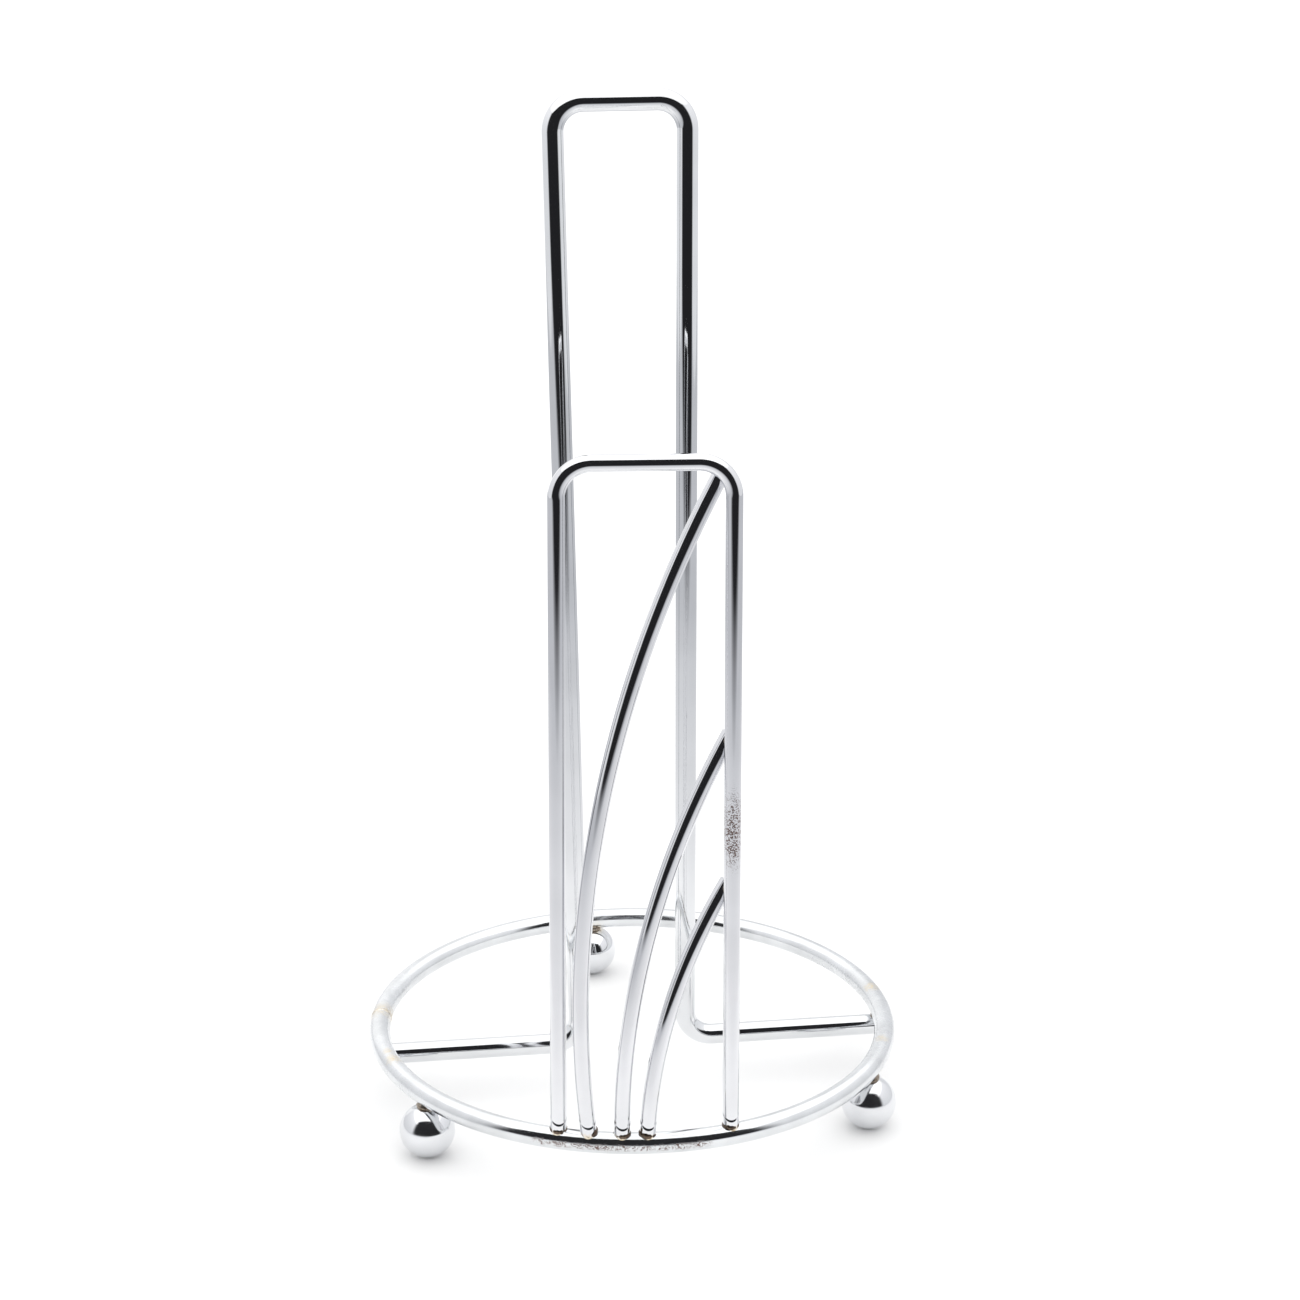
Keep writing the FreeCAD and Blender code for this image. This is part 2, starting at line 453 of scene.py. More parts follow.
def wire(name, path, radius, material, gaps=(None, None), pressed_by=(), profile=None):
    """A round wire along a path, its ends shaped to what they stand against."""
    angles = np.linspace(0, 2 * math.pi, wire_sides, endpoint=False)
    rows = wire_rows(path, radius, angles, gaps)
    grid_angles = np.broadcast_to(angles, rows.shape)
    radii = np.full(rows.shape, radius)
    if profile:
        radii = profile(rows, grid_angles)
    points = path.surface(rows, grid_angles, radii).reshape(-1, 3)
    middles = path.at(rows.ravel())[0]
    for gap in pressed_by:
        points = pulled_in(points, middles, gap)
    count = len(rows)
    quads = []
    uvs = []
    around = 2 * math.pi * radius / wire_sides
    for i in range(count - 1):
        for j in range(wire_sides):
            k = (j + 1) % wire_sides
            quads.append((i * wire_sides + j, i * wire_sides + k,
                          (i + 1) * wire_sides + k, (i + 1) * wire_sides + j))
            uvs += [(rows[i, j], j * around), (rows[i, k], (j + 1) * around),
                    (rows[i + 1, k], (j + 1) * around), (rows[i + 1, j], j * around)]
    points = list(points)
    for at_end in (False, True):
        add_end_face(path, radii[-1 if at_end else 0], angles, gaps[at_end], at_end,
                     points, quads, uvs, 0 if not at_end else (count - 1) * wire_sides)
    return new_piece(name, points, quads, uvs, material)


def add_end_face(path, radii, angles, gap, at_end, points, faces, uvs, edge_start):
    """Closes a wire's end with loops that lie on the neighbour's surface."""
    loop_starts = [edge_start]
    distance = path.distances[-1] if at_end else 0.0
    for share in (*cap_shares, 0.0):
        loop_angles = angles if share else angles[:1]
        where = np.full(loop_angles.shape, distance)
        loop_radii = radii[:len(loop_angles)] * share
        if gap:
            where = end_distances(path, loop_radii, loop_angles, gap, at_end)
        loop_starts.append(len(points))
        points += list(path.surface(where, loop_angles, loop_radii))
    sides = len(angles)
    for outer, inner in zip(loop_starts, loop_starts[1:]):
        centre = inner == loop_starts[-1]
        for j in range(sides):
            k = (j + 1) % sides
            inner_side = (inner,) if centre else (inner + j, inner + k)
            face = (outer + k, outer + j, *inner_side)
            face = face[::-1] if at_end else face
            faces.append(face)
            uvs += [(distance + points[v][0] * cap_map_scale, points[v][1] * cap_map_scale) for v in face]


# ---- the holder's own sizes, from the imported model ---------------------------

ring_points = cad_points("base_ring")
ring_reach = np.hypot(ring_points[:, 0], ring_points[:, 1])
ring_radius = (ring_reach.max() + ring_reach.min()) / 2
ring_r = (ring_reach.max() - ring_reach.min()) / 2
ring_low, ring_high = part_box("base_ring")
ring_height = (ring_low.z + ring_high.z) / 2


def ring_gap(points):
    """How far points stand outside the base ring's wire."""
    level = np.hypot(points[..., 0], points[..., 1]) - ring_radius
    return np.hypot(level, points[..., 2] - ring_height) - ring_r


def on_ring(angle, height):
    """A point straight above or below the ring's middle line."""
    return np.array([ring_radius * math.cos(angle), ring_radius * math.sin(angle), height])


def angle_of(node):
    """The direction of a CAD node from the holder's upright axis."""
    low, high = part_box(node)
    return math.atan2(low.y + high.y, low.x + high.x)


def middle_of(node):
    """The mean of a CAD node's points."""
    return cad_points(node).mean(0)


sides = (("left", -1), ("right", 1))
places = ("front_left", "front_right", "back")

hot_places = []                        # place, reach and strength of each patch of weld tint
for place, strength in ball_heat.items():
    hot_places.append((middle_of("ball_weld_" + place), ball_heat_reach, strength))
hot_places.append((middle_of("ring_seam_weld"), seam_heat_reach, stain_strength))
for angle, reach in ring_stains:
    hot_places.append((on_ring(math.radians(angle), ring_high.z), reach, stain_strength))

guard_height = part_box("guard_frame")[1].z
right_leg = cross_section("guard_frame", 0.5 * guard_height, 1)[0]
leg_pits = np.array([right_leg[0], right_leg[1] - leg_pits_forward, leg_pits_share * guard_height])
pitted_places = [(leg_pits, np.array(leg_pits_reach))]
for angle in np.radians(np.arange(*ring_pits_degrees)):
    pitted = on_ring(angle, ring_height) * (ring_pits_outward, ring_pits_outward, 1)
    pitted_places.append((pitted, np.array(ring_pits_reach)))


# ---- finishes ----------------------------------------------------------------

class Finish:
    """A material's nodes, each made by a short call."""

    def __init__(self, name):
        self.material = bpy.data.materials.new(name)
        self.material.use_nodes = True
        self.tree = self.material.node_tree
        self.shader = self.tree.nodes["Principled BSDF"]

    def node(self, kind, inputs=None, **settings):
        """A new node, with its inputs linked or given values."""
        made = self.tree.nodes.new(kind)
        for key, value in settings.items():
            setattr(made, key, value)
        for key, value in (inputs or {}).items():
            self.set(made.inputs[key], value)
        return made

    def set(self, socket, value):
        if isinstance(value, bpy.types.NodeSocket):
            self.tree.links.new(value, socket)
        else:
            socket.default_value = value

    def noise(self, where, scale, detail=3.0, distortion=0.0):
        inputs = {"Vector": where, "Scale": scale, "Detail": detail, "Distortion": distortion}
        return self.node("ShaderNodeTexNoise", inputs).outputs["Fac"]

    def ramp(self, value, low, high, to_low=0.0, to_high=1.0):
        """Goes evenly from to_low to to_high while the value goes from low to high."""
        inputs = {"Value": value, "From Min": low, "From Max": high, "To Min": to_low, "To Max": to_high}
        return self.node("ShaderNodeMapRange", inputs, clamp=True).outputs["Result"]

    def smooth(self, value, low, high):
        """Goes from 0 to 1 with a soft start and end."""
        inputs = {"Value": value, "From Min": low, "From Max": high}
        return self.node("ShaderNodeMapRange", inputs, interpolation_type="SMOOTHSTEP").outputs["Result"]

    def part(self, vector, axis):
        return self.node("ShaderNodeSeparateXYZ", {"Vector": vector}).outputs[axis]

    def maths(self, operation, a, b=0.0):
        return self.node("ShaderNodeMath", {0: a, 1: b}, operation=operation).outputs[0]

    def vector(self, operation, output, *values):
        return self.node("ShaderNodeVectorMath", dict(enumerate(values)), operation=operation).outputs[output]

    def mix(self, share, a, b, blend="MIX"):
        made = self.node("ShaderNodeMix", data_type="RGBA", blend_type=blend)
        self.set(made.inputs[0], share)
        self.set(made.inputs[6], a)
        self.set(made.inputs[7], b)
        return made.outputs[2]

    def attribute(self, name):
        return self.node("ShaderNodeAttribute", attribute_name=name).outputs["Fac"]

    def bump(self, height, strength, distance, under=None):
        inputs = {"Height": height, "Strength": strength, "Distance": distance}
        if under:
            inputs["Normal"] = under
        return self.node("ShaderNodeBump", inputs).outputs["Normal"]


# each pattern's scale, detail and distortion
mottle_pattern = (900.0, 4.0, 0.6)
pit_pattern = (2600.0, 2.0)
blotch_pattern = (420.0, 3.0, 1.2)
cloud_pattern = (55.0, 3.0)
streak_pattern = (1.0, 2.0)
wave_pattern = (70.0, 1.0)
frost_pattern = (330.0, 4.0, 0.4)
bead_mottle_pattern = (1400.0, 5.0, 0.8)
bead_patch_pattern = (480.0, 3.0)
streak_stretch = (90.0, 2600.0, 1.0)   # streaks to a metre along the wire, and round it

wave_depth = 0.05 * mm
frost_depth = 0.2 * mm
streak_depth = 0.004 * mm
pit_depth = 0.06 * mm
ripple_depth = 0.08 * mm
frost_rough = 2.2                      # how rough frost is, for each part of satin

straw = (0.74, 0.60, 0.37, 1.0)
brown = (0.24, 0.15, 0.09, 1.0)
rust = (0.16, 0.09, 0.07, 1.0)


def chrome(name, tone, wear, satin=0.0, foot=None):
    """Bright chrome plate on drawn wire: faint streaks along it, smudges, weld tint and pits.

    A satin finish is unevenly frosted. A wire that stands on the ring is upset and burnt at its foot.
    """
    look = Finish(name)
    texture = look.node("ShaderNodeTexCoord")
    place = texture.outputs["Object"]
    along = look.node("ShaderNodeUVMap", uv_map="wire").outputs["UV"]
    stretched = look.node("ShaderNodeMapping", {"Vector": along, "Scale": streak_stretch}).outputs[0]

    heat = look.attribute("weld_tint")
    if foot is not None:
        height = look.part(place, "Z")
        burnt = look.ramp(height, foot + burnt_height, foot)
        heat = look.maths("MAXIMUM", heat, burnt)
    mottle = look.noise(place, *mottle_pattern)
    tinted = look.maths("MULTIPLY", heat, look.ramp(mottle, 0.35, 0.65, 0.3, 1.0))
    pits = look.noise(place, *pit_pattern)
    blotches = look.noise(place, *blotch_pattern)
    spotted = look.maths("MULTIPLY", look.ramp(pits, 0.47, 0.56), look.ramp(blotches, 0.36, 0.52))
    pitted = look.maths("MULTIPLY", look.attribute("pitting"), spotted)
    cloud = look.noise(place, *cloud_pattern)
    streaks = look.noise(stretched, *streak_pattern)

    tone_dim = tuple(c * (0.93 - satin) for c in tone[:3]) + (1.0,)
    colour = look.mix(look.ramp(cloud, 0.35, 0.7), tone, tone_dim)
    colour = look.mix(look.ramp(tinted, 0.05, 0.55, 0.0, 0.75), colour, straw)
    colour = look.mix(look.ramp(tinted, 0.5, 1.0, 0.0, 0.85), colour, brown)
    colour = look.mix(look.ramp(pitted, 0.1, 0.5, 0.0, 0.9), colour, rust)
    look.set(look.shader.inputs["Base Color"], colour)

    rough = look.ramp(cloud, 0.3, 0.75, wear, wear + 0.035)
    rough = look.maths("ADD", rough, look.ramp(streaks, 0.6, 0.8, 0.0, 0.03))
    rough = look.maths("ADD", rough, look.ramp(tinted, 0.1, 0.8, 0.0, 0.28))
    rough = look.maths("ADD", rough, look.ramp(pitted, 0.1, 0.6, 0.0, 0.4))
    waves = look.bump(look.noise(place, *wave_pattern), 0.25, wave_depth)
    if satin:
        frost = look.noise(place, *frost_pattern)
        sideways = look.ramp(look.maths("ABSOLUTE", look.part(place, "X")), *frosted_over, 0.25, 1.0)
        frosted = look.maths("MULTIPLY", look.ramp(frost, 0.3, 0.7, 0.4, 1.0), sideways)
        rough = look.maths("ADD", rough, look.maths("MULTIPLY", frosted, frost_rough * satin))
        waves = look.bump(look.maths("MULTIPLY", frost, sideways), satin, frost_depth, waves)
    look.set(look.shader.inputs["Roughness"], rough)

    drawn = look.bump(streaks, 0.18, streak_depth, waves)
    sunk = look.bump(look.maths("MULTIPLY", pitted, -1.0), 0.6, pit_depth, drawn)
    if foot is not None:
        turned_away = look.maths("ADD", look.part(texture.outputs["Normal"], "Y"), 1.0)
        level = look.maths("SUBTRACT", height, look.maths("MULTIPLY", turned_away, upset_slant))
        upset = look.smooth(level, foot + upset_height + upset_length, foot + upset_height)
        sunk = look.bump(upset, 1.0, upset_proud, sunk)
    look.set(look.shader.inputs["Normal"], sunk)
    look.shader.inputs["Metallic"].default_value = 1.0
    return look.material


def bead_metal(name, light, dark):
    """Plated-over weld bead: rippled, in two burnt colours, rougher than the wire."""
    look = Finish(name)
    place = look.node("ShaderNodeTexCoord").outputs["Object"]
    mottle = look.noise(place, *bead_mottle_pattern)
    patches = look.noise(place, *bead_patch_pattern)
    colour = look.mix(look.ramp(patches, 0.35, 0.65), light, dark)
    colour = look.mix(look.ramp(mottle, 0.52, 0.7, 0.0, 0.8), colour, rust)
    look.set(look.shader.inputs["Base Color"], colour)
    look.set(look.shader.inputs["Roughness"], look.ramp(mottle, 0.3, 0.75, 0.16, 0.5))
    ripples = look.bump(mottle, 0.5, ripple_depth)
    look.set(look.shader.inputs["Normal"], ripples)
    look.shader.inputs["Metallic"].default_value = 1.0
    return look.material


ring_top = ring_height + ring_r
ring_bottom = ring_height - ring_r
ring_finish = chrome("ring_chrome", (0.80, 0.815, 0.83, 1.0), 0.05, satin=0.12)
spindle_finish = chrome("spindle_chrome", (0.80, 0.81, 0.825, 1.0), 0.04)
guard_finish = chrome("guard_chrome", (0.80, 0.805, 0.825, 1.0), 0.04, foot=ring_top - 0.4 * ring_r)
ball_finish = chrome("ball_chrome", (0.80, 0.81, 0.83, 1.0), 0.035, satin=0.05)
foot_bead_finish = bead_metal("foot_weld_bead", (0.17, 0.13, 0.10, 1.0), (0.08, 0.06, 0.045, 1.0))
bead_finish = bead_metal("weld_bead", (0.36, 0.32, 0.27, 1.0), (0.20, 0.16, 0.12, 1.0))
seam_finish = bead_metal("seam_weld_bead", (0.80, 0.77, 0.71, 1.0), (0.76, 0.69, 0.57, 1.0))


# ---- base ring ---------------------------------------------------------------

seam_angle = angle_of("ring_seam_weld")
seam_points = cad_points("ring_seam_weld")
seam_turn = np.arctan2(seam_points[:, 1], seam_points[:, 0]) % (2 * math.pi)
seam_sweep = seam_turn.max() - seam_turn.min()
seam_proud = np.hypot(seam_points[:, 0], seam_points[:, 1]).max() - ring_radius - ring_r


def ring_path(start, sweep, step):
    """A stretch of the ring's middle line."""
    path = Path((0, 0, 1))
    middle = np.array([0, 0, ring_height])
    outwards = np.array([math.cos(start), math.sin(start), 0])
    ahead = np.array([-math.sin(start), math.cos(start), 0])
    path.arc(middle, outwards * ring_radius, ahead, sweep, step)
    return path.freeze()


ring = ring_path(seam_angle + seam_sweep / 2, 2 * math.pi - seam_sweep, ring_step)
wire("base_ring.plated", ring, ring_r, ring_finish)

seam = ring_path(seam_angle - seam_sweep / 2, seam_sweep, seam_sweep / seam_rows)


seam_most = 1 + sum(size for count, size, turn in seam_waves)


def seam_profile(rows, angles):
    """The butt weld swells between the ring's two ends, unevenly round the wire."""
    share = rows / seam.distances[-1]
    swell = np.sin(math.pi * np.clip(share, 0, 1)) ** seam_fullness
    uneven = 1
    for count, size, turn in seam_waves:
        uneven = uneven + size * np.sin(count * angles + turn)
    return ring_r + seam_proud * swell * uneven / seam_most


wire("ring_seam_weld.bead", seam, ring_r, seam_finish, profile=seam_profile)


# ---- spindle -----------------------------------------------------------------

spindle_low, spindle_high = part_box("spindle_wire")
spindle_legs = {side: leg_line("spindle_wire", sign) for side, sign in sides}
spindle_r = spindle_legs["left"][2]
crossbar_height = spindle_low.z + spindle_r
spindle_top = spindle_high.z - spindle_r
spindle_corners = [
    np.array([spindle_low.x, 0, crossbar_height]),
    at_height(*spindle_legs["left"][:2], crossbar_height),
    at_height(*spindle_legs["left"][:2], spindle_top),
    at_height(*spindle_legs["right"][:2], spindle_top),
    at_height(*spindle_legs["right"][:2], crossbar_height),
    np.array([spindle_high.x, 0, crossbar_height]),
]
spindle_bend = bend_radius("spindle_wire", *spindle_corners[1:4], spindle_r)
spindle = rounded_path(spindle_corners, spindle_bend, (0, -1, 0))
wire("spindle_wire.plated", spindle, spindle_r, spindle_finish, pressed_by=[ring_gap])


# ---- guard -------------------------------------------------------------------

guard_legs = {side: leg_line("guard_frame", sign) for side, sign in sides}
guard_r = guard_legs["left"][2]
guard_top = guard_height - guard_r
guard_corners = [
    at_height(*guard_legs["left"][:2], ring_height),
    at_height(*guard_legs["left"][:2], guard_top),
    at_height(*guard_legs["right"][:2], guard_top),
    at_height(*guard_legs["right"][:2], ring_height),
]
guard_bend = bend_radius("guard_frame", *guard_corners[:3], guard_r)
guard_normal = np.cross(guard_corners[2] - guard_corners[1], (0, 0, 1))
guard = rounded_path(guard_corners, guard_bend, guard_normal)
guard_gap = path_gap(guard, guard_r)
wire("guard_frame.plated", guard, guard_r, guard_finish, (ring_gap, ring_gap))

bows = {}
for name in ("long", "middle", "short"):
    node = "guard_wire_" + name
    low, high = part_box(node)
    heights = [low.z + (high.z - low.z) * share for share in bow_shares]
    middles = [cross_section(node, height, 0)[0] for height in heights]
    bows[name] = bow_path(*middles, ring_height, high.z, guard_r)
    wire(node + ".plated", bows[name], guard_r, guard_finish, (ring_gap, None), [guard_gap])


# ---- ball feet ---------------------------------------------------------------

def sphere_through(points):
    """The middle and radius of the ball that points lie on."""
    rows = np.hstack([2 * points, np.ones((len(points), 1))])
    found = np.linalg.lstsq(rows, (points ** 2).sum(1), rcond=None)[0]
    middle = found[:3]
    return middle, math.sqrt(found[3] + middle @ middle)


def ball_of(place):
    """The middle and radius of a ball foot."""
    points = cad_points("ball_foot_" + place)
    return sphere_through(points[points[:, 2] < ball_share * points[:, 2].max()])


def ball(place):
    """A steel ball with a small flat underneath, hollowed where it meets the ring above it."""
    middle, radius = ball_of(place)
    flat_turn = math.acos(middle[2] / radius)
    turns = np.linspace(flat_turn, math.pi, ball_rows)
    rim = radius * math.sin(flat_turn)
    profile = [(rim * share, -middle[2]) for share in (0.0, *flat_loops[::-1])]
    profile += [(radius * math.sin(t), -radius * math.cos(t)) for t in turns]
    points, faces, uvs = lathe(middle, profile, ball_sides)
    points = pulled_in(points, np.broadcast_to(middle, points.shape), ring_gap)
    return new_piece("ball_foot_" + place + ".plated", points, faces, uvs, ball_finish)


def lathe(middle, profile, sides):
    """Points, faces and map of a turned shape whose profile starts and ends on the axis."""
    points = [middle + np.array([0, 0, profile[0][1]])]
    angles = np.linspace(0, 2 * math.pi, sides, endpoint=False)
    for radius, height in profile[1:-1]:
        points += [middle + np.array([radius * math.cos(t), radius * math.sin(t), height]) for t in angles]
    points.append(middle + np.array([0, 0, profile[-1][1]]))
    faces = []
    loops = len(profile) - 2
    last = len(points) - 1
    for j in range(sides):
        k = (j + 1) % sides
        faces.append((0, 1 + k, 1 + j))
        for i in range(loops - 1):
            here = 1 + i * sides
            faces.append((here + j, here + k, here + sides + k, here + sides + j))
        top = 1 + (loops - 1) * sides
        faces.append((top + j, top + k, last))
    uvs = [(points[v][0], points[v][1]) for face in faces for v in face]
    return np.array(points), faces, uvs


for place in places:
    ball(place)


# ---- weld beads --------------------------------------------------------------

def ripple(source, terms):
    """An uneven closed line: a sum of a few waves round a circle."""
    waves = [(k, source.uniform(-1, 1) / math.sqrt(k), source.uniform(0, wave_turn)) for k in terms]
    return lambda angle: sum(size * np.sin(k * angle + turn) for k, size, turn in waves) / 2


def longest_run(free):
    """First and last place of the longest unbroken stretch of True."""
    best = (0, 0)
    start = None
    for i, value in enumerate([*free, False]):
        if value and start is None:
            start = i
        if not value and start is not None:
            if i - 1 - start > best[1] - best[0]:
                best = (start, i - 1)
            start = None
    return best


def collar(name, joint, gaps, axis=(0, 0, 1), material=bead_finish):
    """A weld bead all round a joint: it lies on both pieces and bulges between them."""
    axis = np.array(axis, float)
    first = unit(np.cross(axis, (0, 0, 1) if abs(axis[2]) < 0.5 else (0, 1, 0)))
    second = np.cross(axis, first)
    node = name_of_node(name)
    radius = np.linalg.norm(cad_points(node) - joint, axis=1).max()
    source = random.Random(node)
    outline = ripple(source, outline_waves)
    swell = ripple(source, swell_waves)
    angles = np.linspace(0, 2 * math.pi, bead_columns, endpoint=False)
    rises = np.radians(np.linspace(-rise_limit, rise_limit, rise_steps))

    def clear(points):
        return np.min([gap(points) for gap in gaps], axis=0)

    loops = []
    for angle in angles:
        level = first * math.cos(angle) + second * math.sin(angle)
        reach = radius * (1 - bead_uneven * (1 - outline(angle)))

        def place(rise, share=1.0):
            rise = np.asarray(rise)[..., None]
            return joint + reach * np.asarray(share)[..., None] * (level * np.cos(rise) + axis * np.sin(rise))

        free = clear(place(rises)) > 0
        low, high = longest_run(free)
        bottom, top = rises[low], rises[high]
        shares = np.linspace(0, 1, bead_rows)
        bulge = 1 + bead_bulge * (1 + swell(angle)) * np.sin(math.pi * shares)
        outer = place(bottom + (top - bottom) * shares, bulge)
        middle = outer[bead_rows // 2]
        depths = np.linspace(0, 1, depth_steps)[:, None]
        way = middle + (joint - middle) * depths
        blocked = np.argmax(clear(way) < 0)
        inner = way[max(blocked - 1, 1)]
        steps = (np.arange(bead_inner_rows) + 1)[:, None] / (bead_inner_rows + 1)
        down = outer[-1] + (inner - outer[-1]) * steps
        up = inner + (outer[0] - inner) * steps
        hidden = pushed_out(np.vstack([down, inner[None], up]), gaps)
        loops.append(np.vstack([outer, hidden]))
    size = len(loops[0])
    faces = []
    for j in range(bead_columns):
        k = (j + 1) % bead_columns
        for i in range(size):
            n = (i + 1) % size
            faces.append((j * size + i, k * size + i, k * size + n, j * size + n))
    points = np.vstack(loops)
    uvs = [(points[v][0], points[v][1]) for face in faces for v in face]
    return new_piece(name, points, faces, uvs, material)


def lap_joint(bow):
    """The middle of the joint where a curved wire crosses behind the guard's leg, and the way it faces."""
    distances = np.linspace(bow.distances[-1] - end_reach, bow.distances[-1], lap_steps)
    middles = bow.at(distances)[0]
    gaps = guard_gap(middles)
    nearest = middles[np.argmin(gaps)]
    apart = gaps.min() + guard_r
    axis = unit(gap_rise(guard_gap, nearest))
    return nearest - axis * apart / 2, axis


for side, corner in (("left", guard_corners[0]), ("right", guard_corners[3])):
    joint = np.array([corner[0], corner[1], ring_top])
    gaps = [ring_gap, path_gap(guard, guard_r, joint)]
    collar("guard_foot_weld_" + side + ".bead", joint, gaps, material=foot_bead_finish)
for name, bow in bows.items():
    joint = bow.places[0] + np.array([0, 0, ring_r])
    gaps = [ring_gap, path_gap(bow, guard_r, joint)]
    collar("guard_wire_foot_weld_" + name + ".bead", joint, gaps, material=foot_bead_finish)
    joint, axis = lap_joint(bow)
    gaps = [path_gap(guard, guard_r, joint), path_gap(bow, guard_r, joint)]
    collar("guard_wire_top_weld_" + name + ".bead", joint, gaps, axis)
for side, angle in (("left", math.pi), ("right", 0.0)):
    joint = on_ring(angle, ring_bottom)
    collar("crossbar_weld_" + side + ".bead", joint, [ring_gap, path_gap(spindle, spindle_r, joint)])
for place in places:
    joint = on_ring(angle_of("ball_foot_" + place), ring_bottom)
    collar("ball_weld_" + place + ".bead", joint, [ring_gap, ball_gap(*ball_of(place))])


# ---- the studio --------------------------------------------------------------

half_floor = 6.0
floor_white = (0.87, 0.87, 0.87, 1.0)
floor_rough = 0.9
floor_sheen = 0.1
opening_angles = (49, 63)              # degrees to each side, where the opening is dark and where it ends
dark = (0.018, 0.018, 0.020, 1.0)
wall_grey = (0.86, 0.87, 0.89, 1.0)
wall_light = (1.05, 1.05, 1.07, 1.0)
wall_lightens = (0.1, 0.7)             # heights over which the walls grow light
back_light = (1.15, 1.15, 1.15, 1.0)
back_grey = (0.85, 0.86, 0.88, 1.0)
back_darkens = (-0.30, 0.35)           # places from left to right over which the back wall turns grey
# painted reflection of the floor, seen only in the chrome: white near the holder, greyer further out, dark
# towards the front
floor_reflection_near = (1.08, 1.08, 1.09, 1.0)
floor_reflection_far = (0.62, 0.63, 0.66, 1.0)
floor_reflection_greys_over = (0.10, 0.50)           # distances over which the painted floor reflection turns grey
floor_reflection_dark_front = (-0.42, -0.64)           # places towards the front over which the painted floor reflection turns dark
floor_fades_in = (0.10, 0.20)          # distances over which the painted floor reflection takes over from the real floor
floor_card_half = 2.5
floor_card_height = 0.4 * mm
sky_heights = (0.35, 0.75)             # the sky grows stronger between these heights of its dome
sky_strengths = (1.05, 1.55)
white = (1.0, 1.0, 1.0, 1.0)
quarter_turn = math.radians(90)


def level_square(half, height):
    """Corners of a level square about the holder's axis."""
    return [(-half, -half, height), (half, -half, height), (half, half, height), (-half, half, height)]


def sheet(name, corners):
    """A flat piece of the studio, and its look."""
    mesh = bpy.data.meshes.new(name)
    mesh.from_pydata(corners, [], [tuple(range(len(corners)))])
    board = bpy.data.objects.new(name, mesh)
    bpy.context.scene.collection.objects.link(board)
    look = Finish(name)
    mesh.materials.append(look.material)
    return board, look


floor_look = sheet("studio_floor", level_square(half_floor, 0))[1]
floor_look.shader.inputs["Base Color"].default_value = floor_white
floor_look.shader.inputs["Roughness"].default_value = floor_rough
floor_look.shader.inputs["Specular IOR Level"].default_value = floor_sheen


def card(name, corners, tone, fade=None):
    """A card that only the chrome sees. Its tone and its fade are worked out from its own place."""
    board, look = sheet(name, corners)
    place = look.node("ShaderNodeTexCoord").outputs["Object"]
    glow = look.node("ShaderNodeEmission", {"Color": tone(look, place), "Strength": 1.0}).outputs[0]
    if fade:
        clear = look.node("ShaderNodeBsdfTransparent").outputs[0]
        glow = look.node("ShaderNodeMixShader", {0: fade(look, place), 1: clear, 2: glow}).outputs[0]
    look.tree.links.new(glow, look.tree.nodes["Material Output"].inputs["Surface"])
    look.tree.nodes.remove(look.shader)
    board.visible_camera = False
    board.visible_diffuse = False
    board.visible_shadow = False


def facing(azimuth, distance, left, right, bottom, top):
    """Corners of an upright card that stands across a direction from the holder."""
    away = np.array([-math.sin(azimuth), -math.cos(azimuth), 0])
    sideways = np.array([math.cos(azimuth), -math.sin(azimuth), 0])
    return [tuple(away * distance + sideways * x + np.array([0, 0, z]))
            for x, z in ((left, bottom), (right, bottom), (right, top), (left, top))]


def darkness(look, place):
    """How dark a place is: the opening in front of the holder takes in a range of directions."""
    level = look.vector("MULTIPLY", "Vector", place, (1, 1, 0))
    ahead = look.vector("NORMALIZE", "Vector", level)
    towards_camera = (-math.sin(view_azimuth), -math.cos(view_azimuth), 0)
    nearness = look.vector("DOT_PRODUCT", "Value", ahead, towards_camera)
    dark_to, light_from = (math.cos(math.radians(angle)) for angle in opening_angles)
    return look.smooth(nearness, light_from, dark_to)


def wall_tone(look, place):
    """The walls grow lighter upwards, and the opening in front of the holder is dark."""
    walls = look.mix(look.ramp(look.part(place, "Z"), *wall_lightens), wall_grey, wall_light)
    return look.mix(darkness(look, place), walls, dark)


def back_tone(look, place):
    """The back wall is light at the left and grey at the right."""
    return look.mix(look.ramp(look.part(place, "X"), *back_darkens), back_light, back_grey)


def painted_floor_reflection_tone(look, place):
    """A painted reflection of the floor, seen only in the chrome: white near the holder, greyer further out
    and dark in front.
    """
    distance = look.vector("LENGTH", "Value", place)
    grey = look.mix(look.ramp(distance, *floor_reflection_greys_over), floor_reflection_near, floor_reflection_far)
    front = look.ramp(look.part(place, "Y"), *floor_reflection_dark_front)
    return look.mix(look.maths("MULTIPLY", front, darkness(look, place)), grey, dark)


def floor_fade(look, place):
    """Close to the holder the real floor shows, with its contact shadows."""
    return look.ramp(look.vector("LENGTH", "Value", place), *floor_fades_in)


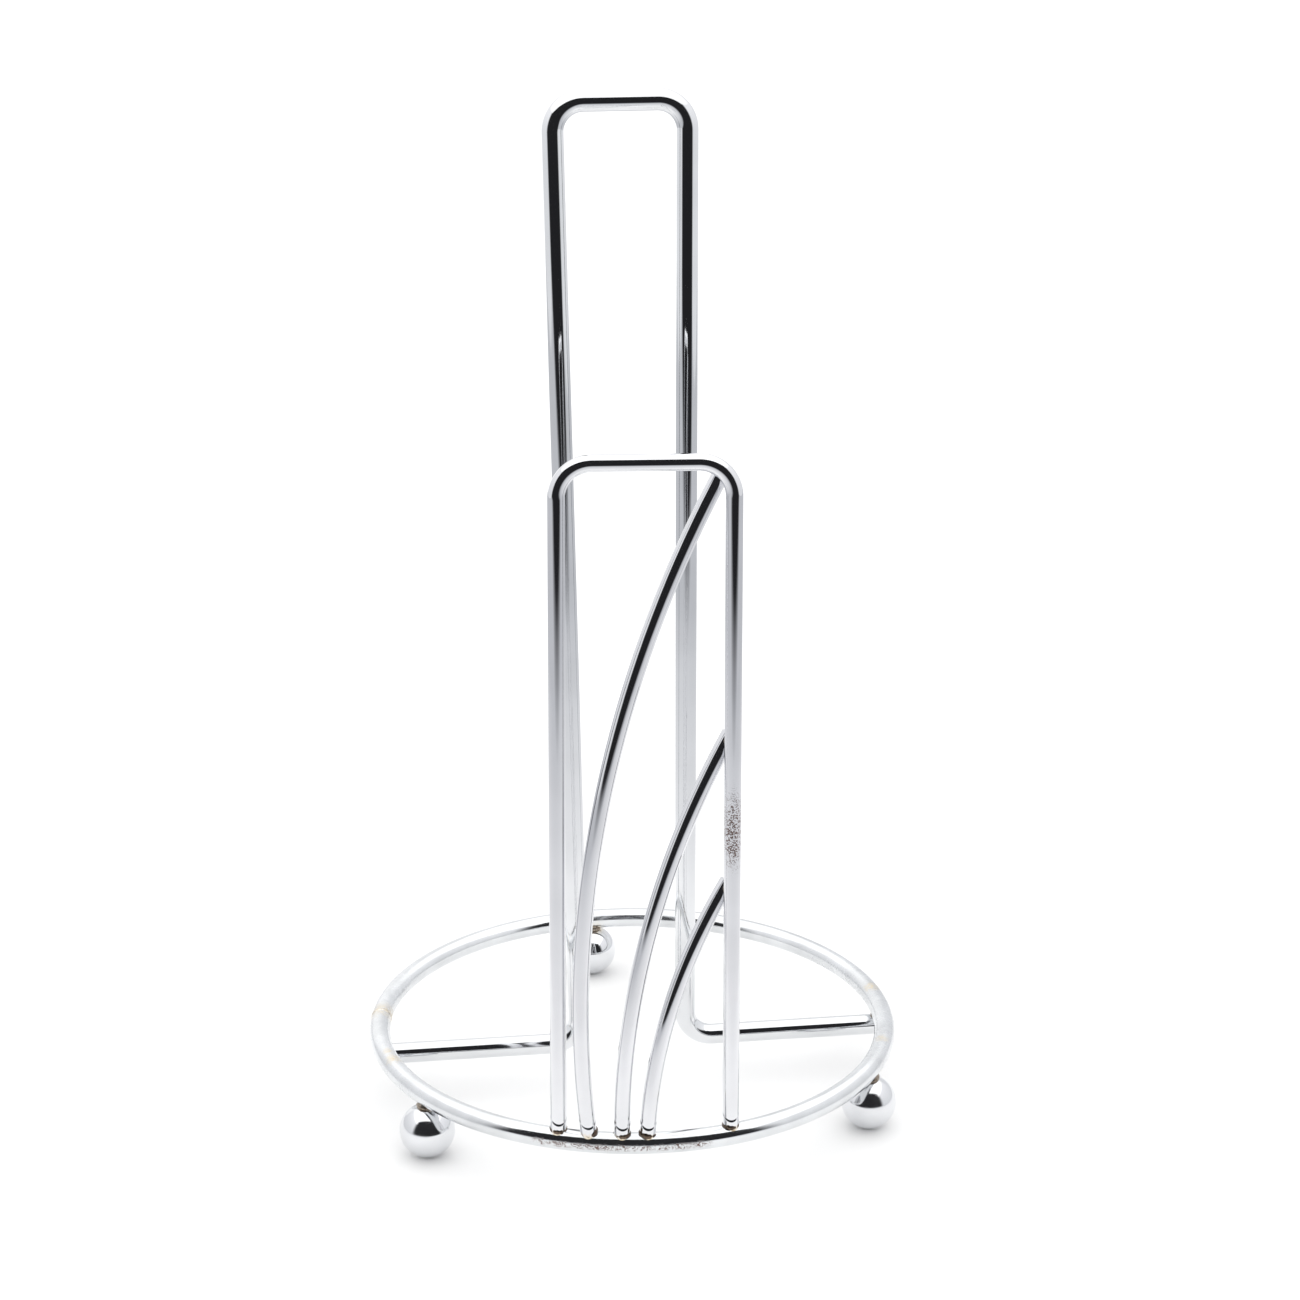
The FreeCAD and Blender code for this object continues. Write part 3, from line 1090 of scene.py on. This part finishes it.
upright_cards = (
    # name, turn from the camera's side, distance, left, right, bottom, top, tone
    ("front_opening", 0, 0.95, -0.97, 0.97, -0.6, 0.95, wall_tone),
    ("front_upper", 0, 0.32, -0.42, 0.42, 0.27, 0.526, wall_tone),
    ("left_wall", quarter_turn, 0.95, -0.97, 1.2, -0.1, 0.85, wall_tone),
    ("right_wall", -quarter_turn, 0.95, -1.2, 0.97, -0.1, 0.85, wall_tone),
    ("back_wall", math.pi, 0.9, -0.9, 0.9, -0.1, 0.6, back_tone),
)
for name, turn, *measures, tone in upright_cards:
    card(name, facing(view_azimuth + turn, *measures), tone)
# a glowing sheet seen only in the chrome, painting the floor's reflection over the real white floor
card("painted_floor_reflection", level_square(floor_card_half, floor_card_height), painted_floor_reflection_tone, floor_fade)

scene = bpy.context.scene
world = bpy.data.worlds.new("studio")
scene.world = world
world.use_nodes = True
background = world.node_tree.nodes["Background"]
background.inputs["Color"].default_value = white
direction = world.node_tree.nodes.new("ShaderNodeTexCoord").outputs["Generated"]
parts = world.node_tree.nodes.new("ShaderNodeSeparateXYZ")
world.node_tree.links.new(direction, parts.inputs[0])
strength = world.node_tree.nodes.new("ShaderNodeMapRange")
world.node_tree.links.new(parts.outputs["Z"], strength.inputs["Value"])
for key, value in zip(("From Min", "From Max", "To Min", "To Max"), sky_heights + sky_strengths):
    strength.inputs[key].default_value = value
world.node_tree.links.new(strength.outputs[0], background.inputs["Strength"])
scene.view_settings.view_transform = "Standard"


# ---- camera ------------------------------------------------------------------

ahead = Vector((math.sin(view_azimuth) * math.cos(view_elevation),
                math.cos(view_azimuth) * math.cos(view_elevation),
                -math.sin(view_elevation)))
right = Vector((math.cos(view_azimuth), -math.sin(view_azimuth), 0))
above = right.cross(ahead)
aim = right * aim_right + Vector((0, 0, cad_high.z * aim_height_share))
camera = bpy.data.objects.new("camera", bpy.data.cameras.new("camera"))
scene.collection.objects.link(camera)
camera.data.lens = view_lens
camera.data.clip_start = near_clip
tilted_right = right * math.cos(view_roll) + above * math.sin(view_roll)
tilted_above = above * math.cos(view_roll) - right * math.sin(view_roll)
turn = Matrix((tilted_right, tilted_above, -ahead)).transposed()
camera.matrix_world = Matrix.Translation(aim - ahead * view_distance) @ turn.to_4x4()
scene.camera = camera
